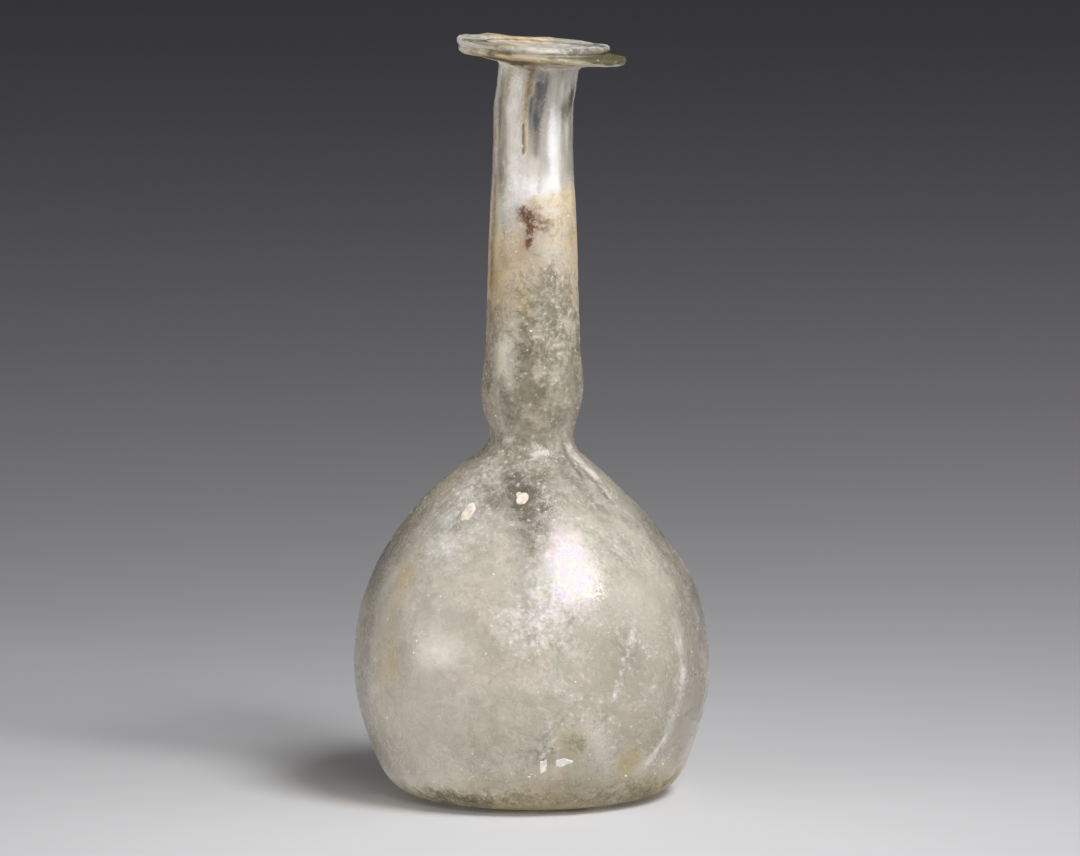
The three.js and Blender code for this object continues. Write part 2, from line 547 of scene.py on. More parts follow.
    def skin(self) -> Skin:
        """The whole closed skin: kick, outer wall, rim, inner wall and floor, in millimetres."""
        bearing = np.arange(self.columns) / self.columns * 360.0
        azimuth = np.radians(bearing - 90.0)
        outer = self.outer_wall(self.outer_count)[:, :2]
        inner = self.inner_wall(self.inner_count)[::-1]
        kick = self.kick()
        floor = kick[::-1] + np.array([0.0, self.floor_thickness])
        rim = self.rim(azimuth)
        floor = floor[floor[:, 0] < inner[-1, 0] - 0.8]
        plain = [np.repeat(rows[:, None], self.columns, axis=1) for rows in (kick, outer, inner, floor)]
        rings = np.concatenate([plain[0], plain[1], rim, plain[2], plain[3]])
        first_inner = len(kick) + len(outer) + len(rim)
        inside = np.arange(len(rings)) >= first_inner
        return Skin(
            points=self.slump(rings, azimuth, inside),
            bearing=np.broadcast_to(bearing, rings.shape[:2]),
            height=rings[..., 1],
            inside=inside,
            outer_rows=slice(len(kick), len(kick) + len(outer)),
            rim_rows=slice(len(kick) + len(outer), first_inner),
        )


def put_mesh(name: str, points: np.ndarray, faces: list[np.ndarray]) -> bpy.types.Object:
    """Makes a mesh object at the origin.

    Args:
        name: The piece's name.
        points: Corner positions in millimetres, one row each.
        faces: Arrays of corner numbers, one row for each face, triangles and quads apart.

    Returns:
        The object, with smooth faces, in the scene.
    """
    mesh = bpy.data.meshes.new(name)
    totals = np.concatenate([np.full(len(f), f.shape[1]) for f in faces])
    corners = np.concatenate([f.ravel() for f in faces])
    mesh.vertices.add(len(points))
    mesh.vertices.foreach_set("co", (points * MM).astype(np.float32).ravel())
    mesh.loops.add(len(corners))
    mesh.loops.foreach_set("vertex_index", corners.astype(np.int32))
    mesh.polygons.add(len(totals))
    mesh.polygons.foreach_set("loop_start", np.concatenate([[0], np.cumsum(totals)[:-1]]).astype(np.int32))
    mesh.update(calc_edges=True)
    mesh.polygons.foreach_set("use_smooth", np.ones(len(totals), dtype=bool))
    mesh.validate()
    made = bpy.data.objects.new(name, mesh)
    bpy.context.scene.collection.objects.link(made)
    return made


def closed_grid_faces(rows: int, columns: int) -> list[np.ndarray]:
    """Faces of a grid that closes on itself sideways and ends in one point below and one above.

    Args:
        rows: Rings of corners; ring i starts at corner 1 + i * columns.
        columns: Corners in a ring.

    Returns:
        The quads between rings, then the two fans of triangles.
    """
    j = np.arange(columns)
    k = (j + 1) % columns
    base = 1 + np.arange(rows - 1)[:, None] * columns
    quads = np.stack([base + j, base + k, base + columns + k, base + columns + j], axis=-1).reshape(-1, 4)
    last = 1 + (rows - 1) * columns
    low = np.stack([np.zeros_like(j), 1 + k, 1 + j], axis=-1)
    high = np.stack([np.full_like(j, last + columns), last + j, last + k], axis=-1)
    return [quads, np.concatenate([low, high])]


# ---------------------------------------------------------------- what lies on the glass


class DepositAndPaintedLight(Enum):
    """What a patch adds to, each a point attribute of the skin.

    Film, soil, rust, stain, moss and grain are the glass's own weathering. Pale and dark are partly
    its own pale film and dark spots, and partly painted highlight, painted reflection and painted
    shade. The pearl colours are a painted iridescent sheen.
    """

    FILM = "film"
    SOIL = "soil"
    RUST = "rust"
    STAIN = "stain"
    DARK = "dark"
    MOSS = "moss"
    PALE_AND_PAINTED_LIGHT = "pale"
    PAINTED_SHEEN = "painted_sheen"
    GRAIN = "grain"


FILM, SOIL, RUST, STAIN, DARK, MOSS, PALE_AND_PAINTED_LIGHT, PAINTED_SHEEN, GRAIN = DepositAndPaintedLight


class Wall(Enum):
    """A part of the skin that a patch can lie on."""

    OUTER = "outer"
    LIP = "lip"
    RIM = "rim"
    INNER = "inner"


OUTER, LIP, RIM, INNER = Wall


@dataclass(frozen=True)
class Patch:
    """A soft patch on one wall.

    Height and half-height are in millimetres; bearing and half-width are in degrees from the front
    towards +X.
    """

    wall: Wall
    adds_to: DepositAndPaintedLight
    z: float
    bearing: float
    high: float
    wide: float
    amount: float

    def field(self, z: np.ndarray, bearing: np.ndarray, radius: np.ndarray) -> np.ndarray:
        """The patch's amount times a Gaussian of height and bearing."""
        up = (z - self.z) / self.high
        side = turned_difference(bearing, self.bearing) / self.wide
        return self.amount * np.exp(-up * up - side * side)


@dataclass(frozen=True)
class Streak:
    """A narrow mark on one wall, from one height and bearing to another.

    Heights and the half-width are in millimetres and bearings in degrees from the front towards +X.
    """

    wall: Wall
    adds_to: DepositAndPaintedLight
    start: tuple[float, float]
    end: tuple[float, float]
    wide: float
    amount: float

    def field(self, z: np.ndarray, bearing: np.ndarray, radius: np.ndarray) -> np.ndarray:
        """The amount times a Gaussian of the distance, on the unrolled wall, to the line of the mark."""
        arc = np.radians(radius)
        x, y = turned_difference(bearing, self.start[1]) * arc, z - self.start[0]
        run, climb = (self.end[1] - self.start[1]) * arc, self.end[0] - self.start[0]
        along = np.clip((x * run + y * climb) / (run * run + climb * climb), 0.0, 1.0)
        away = (x - along * run) ** 2 + (y - along * climb) ** 2
        return self.amount * np.exp(-away / self.wide**2)


Mark = Patch | Streak


def neck_marks() -> tuple[Mark, ...]:
    """What lies on the neck: white bands, partly white film and partly a painted highlight of the lights,
    beside a clear streak painted dark for the background seen through it, soil, rust and dark spots.
    """
    return (
        # White bands beside the clear streak: white film, made brighter as a painted highlight of the lights.
        Patch(INNER, PALE_AND_PAINTED_LIGHT, 140.0, -27.0, 17.0, 11.0, 1.1),
        Patch(INNER, FILM, 140.0, -27.0, 17.0, 10.0, 0.25),
        Patch(INNER, PALE_AND_PAINTED_LIGHT, 138.0, 28.0, 16.0, 20.0, 1.2),
        Patch(INNER, FILM, 138.0, 28.0, 16.0, 18.0, 0.35),
        Patch(INNER, PALE_AND_PAINTED_LIGHT, 131.0, -2.0, 6.0, 40.0, 1.0),
        Patch(INNER, FILM, 131.0, -2.0, 6.0, 40.0, 0.25),
        Patch(INNER, FILM, 147.0, 180.0, 7.0, 45.0, -1.0),
        Patch(OUTER, FILM, 147.0, 180.0, 7.0, 45.0, -0.3),
        # The clear streak: film left out inside, and umber painted on the outer wall as the dark background
        # seen through.
        Streak(INNER, FILM, (151.5, 5.0), (147.0, 5.0), 1.6, -1.5),
        Streak(INNER, FILM, (147.0, 5.0), (136.0, 2.0), 1.4, -0.42),
        Streak(OUTER, DARK, (151.0, 3.0), (146.5, 4.0), 1.0, 0.8),
        Streak(OUTER, FILM, (151.0, 3.0), (146.5, 4.0), 0.9, 0.25),
        # The right white band on the outer wall: painted highlight over white film.
        Patch(OUTER, FILM, 137.0, 28.0, 12.0, 14.0, 0.85),
        Patch(OUTER, PALE_AND_PAINTED_LIGHT, 137.0, 28.0, 14.0, 16.0, 1.40),
        Patch(OUTER, FILM, 130.0, -5.0, 4.0, 30.0, 0.30),
        # The left white band on the outer wall: painted highlight over white film.
        Patch(OUTER, PALE_AND_PAINTED_LIGHT, 143.0, -26.0, 12.0, 18.0, 0.9),
        Patch(OUTER, FILM, 143.0, -26.0, 12.0, 16.0, 0.14),
        Patch(OUTER, STAIN, 140.0, -70.0, 14.0, 12.0, 0.40),
        Patch(OUTER, MOSS, 141.0, -68.0, 12.0, 9.0, 0.68),
        Patch(OUTER, FILM, 140.0, -70.0, 14.0, 10.0, 0.30),
        Patch(OUTER, PALE_AND_PAINTED_LIGHT, 130.0, -5.0, 4.5, 34.0, 1.20),
        Streak(OUTER, RUST, (154.5, -9.0), (149.5, -8.0), 0.9, 0.8),
        Streak(OUTER, FILM, (154.5, -9.0), (149.5, -8.0), 0.9, 0.5),
        Streak(INNER, DARK, (150.0, 9.0), (145.0, 9.0), 0.35, 0.9),
        Streak(OUTER, DARK, (149.0, 1.0), (143.0, -1.0), 0.35, 0.9),
        Streak(OUTER, FILM, (149.0, 1.0), (143.0, -1.0), 0.35, 0.5),
        Streak(OUTER, DARK, (148.0, 8.5), (144.0, 8.0), 0.25, 0.9),
        Streak(OUTER, FILM, (148.0, 8.5), (144.0, 8.0), 0.25, 0.5),
        Patch(OUTER, MOSS, 147.5, 68.0, 7.0, 15.0, 0.95),
        Patch(OUTER, FILM, 147.0, 62.0, 6.0, 18.0, 0.40),
        Patch(OUTER, DARK, 145.5, 54.0, 3.2, 13.0, 1.1),
        Patch(INNER, FILM, 144.0, -64.0, 9.0, 12.0, -0.4),
        Patch(OUTER, STAIN, 136.0, 78.0, 9.0, 12.0, 0.7),
        Streak(OUTER, STAIN, (153.0, -13.0), (137.0, -12.5), 1.2, 0.70),
        Streak(OUTER, MOSS, (152.0, -11.0), (137.0, -11.5), 0.9, 0.60),
        Streak(OUTER, FILM, (153.0, -12.0), (137.0, -12.0), 1.1, 0.30),
        Streak(OUTER, RUST, (153.0, -45.0), (146.0, -50.0), 0.45, 0.7),
        Streak(OUTER, STAIN, (153.0, -44.0), (138.0, -54.0), 0.9, 0.7),
        Streak(OUTER, FILM, (153.0, -44.0), (138.0, -54.0), 0.8, 0.3),
        Streak(OUTER, DARK, (142.5, -14.5), (136.5, -14.0), 0.35, 1.2),
        Streak(OUTER, FILM, (142.5, -14.5), (136.5, -14.0), 0.35, 0.6),
        Streak(OUTER, STAIN, (132.0, -60.0), (108.0, -64.0), 1.6, 0.35),
        Streak(OUTER, RUST, (133.0, -64.0), (108.0, -68.0), 1.1, 0.75),
        Streak(OUTER, FILM, (132.0, -64.0), (110.0, -66.0), 1.6, 0.25),
        Patch(OUTER, RUST, 124.2, -10.0, 1.9, 14.0, 1.4),
        Streak(OUTER, RUST, (122.0, -3.0), (117.5, -6.0), 0.9, 1.3),
        Patch(OUTER, RUST, 121.6, 14.0, 1.8, 12.0, 0.85),
        Patch(OUTER, RUST, 122.0, 3.0, 6.0, 26.0, 0.20),
        Patch(OUTER, RUST, 102.0, -66.0, 3.2, 9.0, 0.75),
        Patch(OUTER, RUST, 97.0, -68.0, 2.6, 8.0, 0.60),
        Patch(OUTER, PALE_AND_PAINTED_LIGHT, 120.0, 24.0, 6.0, 22.0, 0.7),
        Patch(OUTER, PALE_AND_PAINTED_LIGHT, 95.5, -38.0, 5.0, 12.0, 0.9),
        Patch(OUTER, FILM, 94.5, -38.0, 4.0, 11.0, 0.45),
        Patch(OUTER, DARK, 94.5, -38.0, 5.0, 12.0, -0.35),
        Patch(OUTER, PALE_AND_PAINTED_LIGHT, 97.5, 22.0, 5.0, 22.0, 0.45),
        Patch(OUTER, DARK, 86.5, 3.0, 1.8, 14.0, 0.70),
        Patch(OUTER, DARK, 92.0, -6.0, 5.0, 7.0, 0.60),
        Patch(OUTER, STAIN, 105.0, -12.0, 3.5, 9.0, 0.35),
        Patch(OUTER, PALE_AND_PAINTED_LIGHT, 101.0, 26.0, 9.0, 20.0, 0.60),
        Patch(OUTER, DARK, 106.0, 20.0, 8.0, 26.0, 0.30),
        Streak(OUTER, MOSS, (96.0, -50.0), (79.0, -46.0), 1.3, 0.55),
        Streak(OUTER, RUST, (94.0, -64.0), (82.0, -58.0), 1.0, 0.35),
    )


def body_marks() -> tuple[Mark, ...]:
    """What lies on the shoulder and belly: thin places painted dark, yellow stains and the pale middle,
    with a painted highlight and its painted iridescent sheen, a painted reflection down the right,
    painted shade on the right and painted light on the left.
    """
    return (
        # Thin places on the shoulder: film left out inside, with umber painted on the outer wall over them as
        # painted darkness of the background seen through.
        Patch(INNER, FILM, 66.5, -8.0, 6.0, 34.0, -0.40),
        Patch(INNER, FILM, 59.5, 3.0, 7.0, 11.0, -0.60),
        Patch(OUTER, DARK, 66.5, -6.0, 5.5, 28.0, 0.50),
        Patch(OUTER, DARK, 59.0, -1.0, 6.5, 12.0, 0.60),
        # Painted shade: darkens the right of the shoulder.
        Patch(OUTER, DARK, 63.0, 44.0, 8.0, 20.0, 0.45),
        Patch(INNER, FILM, 52.6, 48.0, 7.0, 8.0, -0.35),
        Patch(OUTER, STAIN, 49.2, -53.0, 3.5, 6.0, 0.85),
        Patch(OUTER, FILM, 49.2, -53.0, 3.0, 5.0, 0.3),
        Streak(OUTER, STAIN, (41.0, -54.0), (30.0, -52.0), 4.6, 0.62),
        Streak(OUTER, FILM, (41.0, -54.0), (30.0, -52.0), 4.6, 0.22),
        Patch(OUTER, STAIN, 26.0, -48.0, 9.0, 9.0, 0.35),
        Patch(OUTER, STAIN, 12.4, 36.0, 3.0, 5.0, 1.0),
        Patch(OUTER, RUST, 12.4, 36.0, 3.0, 5.0, 0.35),
        Patch(OUTER, STAIN, 18.5, -13.0, 2.0, 6.0, 0.9),
        Patch(OUTER, STAIN, 38.0, -15.0, 3.5, 5.0, 0.8),
        Patch(INNER, MOSS, 18.0, 14.0, 6.5, 12.0, 0.62),
        Patch(OUTER, MOSS, 17.0, 14.0, 5.5, 10.0, 0.62),
        Patch(OUTER, STAIN, 17.0, 14.0, 5.5, 10.0, 0.50),
        Patch(OUTER, FILM, 17.0, 14.0, 5.5, 10.0, 0.12),
        # Round the foot and low on the belly: olive and yellow staining of the glass, laid on darker as
        # painted shade where the belly turns down from the light.
        Patch(INNER, MOSS, 9.0, 10.0, 6.5, 42.0, 0.76),
        Patch(OUTER, MOSS, 8.0, 8.0, 6.0, 50.0, 0.48),
        Patch(OUTER, STAIN, 8.0, 4.0, 5.0, 45.0, 0.42),
        # Painted shade: darkens the right of the belly.
        Patch(INNER, DARK, 34.0, 36.0, 16.0, 20.0, 0.50),
        Patch(OUTER, DARK, 34.0, 36.0, 16.0, 20.0, 0.22),
        Patch(OUTER, STAIN, 1.5, -10.0, 3.5, 90.0, 0.45),
        Patch(OUTER, MOSS, 3.5, -25.0, 1.8, 16.0, 0.22),
        Patch(OUTER, MOSS, 2.0, -5.0, 4.5, 150.0, 0.46),
        Patch(OUTER, MOSS, 4.5, 58.0, 6.0, 28.0, 0.34),
        Patch(OUTER, STAIN, 5.0, 56.0, 6.0, 30.0, 0.40),
        Patch(OUTER, MOSS, 3.0, -50.0, 4.5, 26.0, 0.28),
        Patch(OUTER, PALE_AND_PAINTED_LIGHT, 43.0, -2.0, 8.0, 14.0, 1.1),
        Patch(OUTER, FILM, 38.0, 0.0, 11.0, 12.0, 0.15),
        # Painted highlight and painted iridescent sheen: pale film and pink, lilac and lemon colours where
        # the key light's highlight falls.
        Patch(OUTER, PALE_AND_PAINTED_LIGHT, 54.0, 17.0, 4.0, 6.0, 0.6),
        Patch(OUTER, PAINTED_SHEEN, 52.5, 13.0, 8.0, 13.0, 1.5),
        Patch(OUTER, FILM, 52.0, 14.0, 7.5, 12.0, 0.72),
        Patch(OUTER, GRAIN, 53.0, 14.0, 7.0, 12.0, -0.45),
        Streak(OUTER, PALE_AND_PAINTED_LIGHT, (73.4, 4.0), (73.2, 20.0), 0.7, 0.9),
        Streak(OUTER, FILM, (73.4, 4.0), (73.2, 20.0), 0.7, 0.3),
        Streak(OUTER, PALE_AND_PAINTED_LIGHT, (73.8, 62.0), (68.6, 64.0), 1.3, 0.6),
        Streak(OUTER, FILM, (73.8, 62.0), (68.6, 64.0), 1.2, 0.8),
        Streak(OUTER, PALE_AND_PAINTED_LIGHT, (69.4, 64.0), (64.6, 59.5), 0.7, 0.6),
        Streak(OUTER, FILM, (69.4, 64.0), (64.6, 59.5), 0.6, 0.6),
        Patch(OUTER, RUST, 67.0, 63.0, 1.0, 4.0, 0.55),
        Streak(OUTER, MOSS, (75.0, 46.0), (64.0, 50.0), 2.2, 0.45),
        Streak(OUTER, MOSS, (77.0, 50.0), (69.0, 48.0), 0.9, 0.4),
        Streak(OUTER, DARK, (57.0, 34.0), (48.6, 44.5), 0.6, 0.8),
        Streak(OUTER, DARK, (48.6, 44.5), (42.0, 52.0), 0.6, 0.8),
        Streak(OUTER, PALE_AND_PAINTED_LIGHT, (58.5, 36.0), (50.0, 46.5), 0.6, 0.9),
        Streak(OUTER, PALE_AND_PAINTED_LIGHT, (50.0, 46.5), (43.0, 54.0), 0.6, 0.9),
        # Painted light: brightens the left of the shoulder.
        Patch(OUTER, PALE_AND_PAINTED_LIGHT, 58.0, -36.0, 13.0, 22.0, 0.65),
        Patch(OUTER, FILM, 60.0, -38.0, 12.0, 22.0, 0.20),
        Patch(OUTER, PALE_AND_PAINTED_LIGHT, 20.0, 40.0, 12.0, 14.0, 0.35),
        # Painted reflection: a pale line down the right of the belly where the inner wall's edge reflects
        # light.
        Streak(OUTER, PALE_AND_PAINTED_LIGHT, (40.0, 54.0), (29.0, 57.5), 1.7, 0.35),
        Streak(OUTER, FILM, (40.0, 54.0), (29.0, 57.5), 1.6, 0.18),
        Streak(OUTER, PALE_AND_PAINTED_LIGHT, (29.0, 57.5), (15.5, 51.0), 1.7, 0.40),
        Streak(OUTER, FILM, (29.0, 57.5), (15.5, 51.0), 1.6, 0.22),
        Streak(OUTER, PALE_AND_PAINTED_LIGHT, (15.5, 51.0), (10.5, 45.0), 0.9, 0.5),
        Streak(OUTER, FILM, (15.5, 51.0), (10.5, 45.0), 0.8, 0.25),
        Streak(OUTER, PALE_AND_PAINTED_LIGHT, (41.0, 37.0), (26.0, 27.0), 0.8, 0.75),
        Streak(OUTER, FILM, (41.0, 37.0), (26.0, 27.0), 0.6, 0.30),
        Patch(OUTER, FILM, 38.0, -84.0, 24.0, 14.0, 0.14),
        Patch(OUTER, STAIN, 38.0, -84.0, 24.0, 14.0, 0.35),
        Patch(OUTER, FILM, 22.0, 84.0, 18.0, 14.0, 0.16),
        Patch(OUTER, STAIN, 60.0, 80.0, 16.0, 20.0, 0.45),
        Patch(OUTER, STAIN, 60.0, -80.0, 16.0, 20.0, 0.45),
        Patch(INNER, GRAIN, 30.0, -38.0, 20.0, 26.0, -0.30),
        Patch(OUTER, GRAIN, 30.0, -40.0, 20.0, 26.0, -0.30),
        Patch(INNER, GRAIN, 34.0, 6.0, 20.0, 18.0, 0.55),
        Patch(OUTER, GRAIN, 34.0, 6.0, 20.0, 18.0, 0.55),
        Patch(OUTER, GRAIN, 25.0, 36.0, 18.0, 18.0, 0.45),
        Patch(OUTER, GRAIN, 34.0, 90.0, 30.0, 28.0, -0.35),
        Patch(OUTER, GRAIN, 34.0, -90.0, 30.0, 28.0, -0.35),
    )


def rim_marks() -> tuple[Mark, ...]:
    """What lies on the rim: tan soil on top, olive in the seam and under the left side, and a painted
    highlight along the front edge of the upper layer.
    """
    return (
        Patch(RIM, SOIL, 159.4, -30.0, 0.9, 45.0, 1.0),
        Patch(RIM, SOIL, 159.0, 200.0, 1.2, 45.0, 1.3),
        Patch(RIM, RUST, 159.2, -45.0, 0.9, 14.0, 0.45),
        Patch(RIM, RUST, 159.0, 215.0, 0.9, 20.0, 0.35),
        Patch(RIM, PALE_AND_PAINTED_LIGHT, 159.2, 40.0, 1.0, 40.0, 0.9),
        Patch(LIP, MOSS, 157.3, 66.0, 0.8, 38.0, 1.1),
        Patch(LIP, FILM, 157.5, 60.0, 0.8, 38.0, 0.55),
        Patch(LIP, MOSS, 157.8, 90.0, 1.1, 24.0, 1.1),
        Patch(LIP, FILM, 157.7, 90.0, 1.3, 24.0, 0.40),
        Patch(LIP, DARK, 157.9, 78.0, 1.1, 34.0, 0.5),
        Patch(LIP, MOSS, 156.8, 98.0, 1.3, 22.0, 0.60),
        Patch(LIP, DARK, 156.8, 98.0, 1.3, 22.0, 0.30),
        Patch(RIM, MOSS, 159.1, -62.0, 0.7, 12.0, 0.6),
        Patch(LIP, MOSS, 155.4, -32.0, 1.0, 20.0, 1.1),
        Patch(LIP, FILM, 155.4, -32.0, 1.0, 20.0, 0.4),
        Patch(LIP, STAIN, 155.6, -25.0, 1.6, 60.0, 0.6),
        Patch(LIP, MOSS, 155.6, -10.0, 0.7, 70.0, 0.40),
        Patch(LIP, RUST, 155.6, -38.0, 0.7, 14.0, 0.9),
        Patch(LIP, MOSS, 155.6, -34.0, 0.5, 16.0, 1.2),
        Patch(LIP, RUST, 154.6, -9.0, 1.6, 7.0, 0.9),
        Patch(LIP, DARK, 158.0, 10.0, 2.5, 55.0, 0.32),
        Patch(LIP, MOSS, 157.5, 0.0, 0.6, 70.0, 0.60),
        Patch(RIM, MOSS, 159.2, -66.0, 0.5, 16.0, 0.35),
        Patch(LIP, PALE_AND_PAINTED_LIGHT, 156.8, -70.0, 2.5, 30.0, 0.70),
        Patch(LIP, FILM, 157.2, -60.0, 3.0, 34.0, 0.45),
        Patch(LIP, DARK, 158.6, 60.0, 1.0, 50.0, 0.60),
        Patch(LIP, RUST, 157.2, -84.0, 0.5, 4.0, 0.9),
        # Painted highlight along the front edge of the upper layer.
        Patch(LIP, PALE_AND_PAINTED_LIGHT, 158.4, 0.0, 0.4, 60.0, 0.6),
        Patch(LIP, GRAIN, 157.5, 90.0, 2.0, 28.0, 0.6),
        Patch(LIP, STAIN, 157.2, 0.0, 2.5, 70.0, 0.25),
        Patch(LIP, PALE_AND_PAINTED_LIGHT, 155.9, 84.0, 0.5, 44.0, 1.3),
        Patch(LIP, FILM, 155.9, 84.0, 0.5, 44.0, 0.7),
    )


def ring_streaks(skin: Skin, size: float, seed: int) -> np.ndarray:
    """Noise drawn out round the axis: fine across the rim, by height plus radius, and long along it."""
    turn, radius = np.radians(skin.bearing), np.hypot(skin.points[..., 0], skin.points[..., 1])
    round_trip = np.broadcast_arrays(3.4 * np.cos(turn), 3.4 * np.sin(turn), skin.height + radius)
    return fractal(np.stack(round_trip, axis=-1), size, 3, seed)


@dataclass(frozen=True)
class Weathering:
    """How film, soil and stains lie on the walls, with painted highlights, reflections and shade among the
    marks.
    """

    marks: tuple[Mark, ...] = neck_marks() + body_marks() + rim_marks()
    seed: int = 11
    cover_heights: tuple[float, ...] = (0.0, 5.0, 9.0, 20.0, 45.0, 58.0, 68.0, 74.0, 84.0, 96.0, 112.0, 126.0,
                                        133.0, 150.0, 156.0)
    inner_cover: tuple[float, ...] = (0.65, 0.75, 0.82, 0.92, 0.95, 0.88, 0.72, 0.58, 0.54, 0.62, 0.76, 0.90,
                                      0.92, 0.80, 0.30)
    outer_cover: tuple[float, ...] = (0.42, 0.42, 0.32, 0.20, 0.22, 0.24, 0.28, 0.34, 0.38, 0.48, 0.58, 0.64,
                                      0.08, 0.10, 0.40)
    grain: tuple[float, ...] = (0.3, 0.35, 0.40, 0.45, 0.50, 0.55, 0.65, 0.50, 0.50, 0.80, 0.85, 0.60,
                                0.15, 0.15, 0.60)
    # Darkening by height: at the foot it is painted shade, where the belly turns down from the light; on the
    # nip, the lower neck and a little on the rim it darkens the film there.
    darker_by_height: tuple[float, ...] = (0.10, 0.08, 0.0, 0.0, 0.0, 0.08, 0.36, 0.52, 0.58, 0.50, 0.34, 0.08,
                               0.0, 0.0, 0.15)
    beige: tuple[float, ...] = (0.25, 0.20, 0.12, 0.08, 0.08, 0.12, 0.18, 0.34, 0.46, 0.56, 0.52, 0.35,
                                0.10, 0.12, 0.22)
    rim_cover: float = 0.52
    rim_grain: float = 0.45
    cloud_size: float = 16.0
    curd_size: float = 5.0
    clouding: float = 0.12
    banding: float = 0.28
    ringing: float = 0.35
    ring_stain: float = 0.6
    ring_bloom: float = 0.4
    soil_edge: float = 126.5
    soil_slant: float = 6.5
    soil_fade: tuple[float, float] = (88.0, 124.0)
    ring_size: float = 0.7
    loose_share: float = 0.85
    loose_fade: tuple[float, float] = (68.0, 56.0)

    def fields(self, skin: Skin) -> dict[str, np.ndarray]:
        """The point attributes of the skin, each from 0 to about 1.

        The film is a base cover that changes with height, plus noise and patches. Soil fills a
        band of the neck whose upper edge slants upwards to +X. The rim's fine rings are stained in
        their troughs and white on their crests.

        Args:
            skin: The skin to dress.

        Returns:
            One array over the grid for each attribute.
        """
        points, z, bearing = skin.points, skin.height, skin.bearing
        walls = {INNER: np.repeat(skin.inside[:, None], z.shape[1], axis=1)}
        walls[RIM] = np.zeros(z.shape, dtype=bool)
        walls[RIM][skin.rim_rows] = True
        crest = skin.rim_rows.start + int(np.argmax(z[skin.rim_rows].mean(axis=1)))
        walls[LIP] = walls[RIM] & (np.arange(len(z))[:, None] < crest)
        walls[OUTER] = ~(walls[INNER] | walls[RIM])
        cloud = fractal(points, self.cloud_size, 4, self.seed)
        curd = fractal(points, self.curd_size, 3, self.seed + 20)
        cover = np.where(
            walls[INNER],
            np.interp(z, self.cover_heights, self.inner_cover),
            np.interp(z, self.cover_heights, self.outer_cover),
        )
        cover = np.where(walls[RIM], self.rim_cover, cover) + self.clouding * cloud + self.clouding * curd
        edge = self.soil_edge + self.soil_slant * np.sin(np.radians(bearing))
        edge = edge + 3.0 * fractal(points, 7.0, 3, self.seed + 40)
        soil = smoothstep(edge + 2.5, edge - 3.5, z) * smoothstep(*self.soil_fade, z + 12.0 * cloud)
        drawn = np.concatenate([points[..., :2], points[..., 2:] / 16.0], axis=-1)
        bands = smoothstep(122.0, 134.0, z) * smoothstep(154.0, 151.0, z)
        bands = bands * fractal(drawn, 1.6, 3, self.seed + 60)
        rings = walls[RIM] * ring_streaks(skin, self.ring_size, self.seed + 80)
        amounts = {kind: np.zeros_like(z) for kind in DepositAndPaintedLight}
        troughs = self.ring_stain * np.maximum(-rings, 0.0)
        amounts[FILM] = cover + self.banding * bands + self.ringing * rings
        amounts[SOIL] = soil * ~walls[RIM]
        amounts[STAIN] = np.interp(z, self.cover_heights, self.beige) + self.clouding * cloud
        # Darkening by height, painted shade at the foot, plus dark stain in the rim's troughs.
        amounts[DARK] = np.interp(z, self.cover_heights, self.darker_by_height) + troughs
        amounts[MOSS] = troughs
        amounts[PALE_AND_PAINTED_LIGHT] = self.ring_bloom * np.maximum(rings, 0.0)
        amounts[GRAIN] = np.where(
            walls[RIM], self.rim_grain, np.interp(z, self.cover_heights, self.grain) + 0.15 * cloud)
        radius = np.maximum(np.hypot(points[..., 0], points[..., 1]), 1.0)
        for mark in self.marks:
            amounts[mark.adds_to] = amounts[mark.adds_to] + walls[mark.wall] * mark.field(z, bearing, radius)
        fields = {kind.value: np.clip(value, 0.0, 1.5) for kind, value in amounts.items()}
        fields["loose"] = walls[INNER] * self.loose_share * smoothstep(*self.loose_fade, z)
        return fields


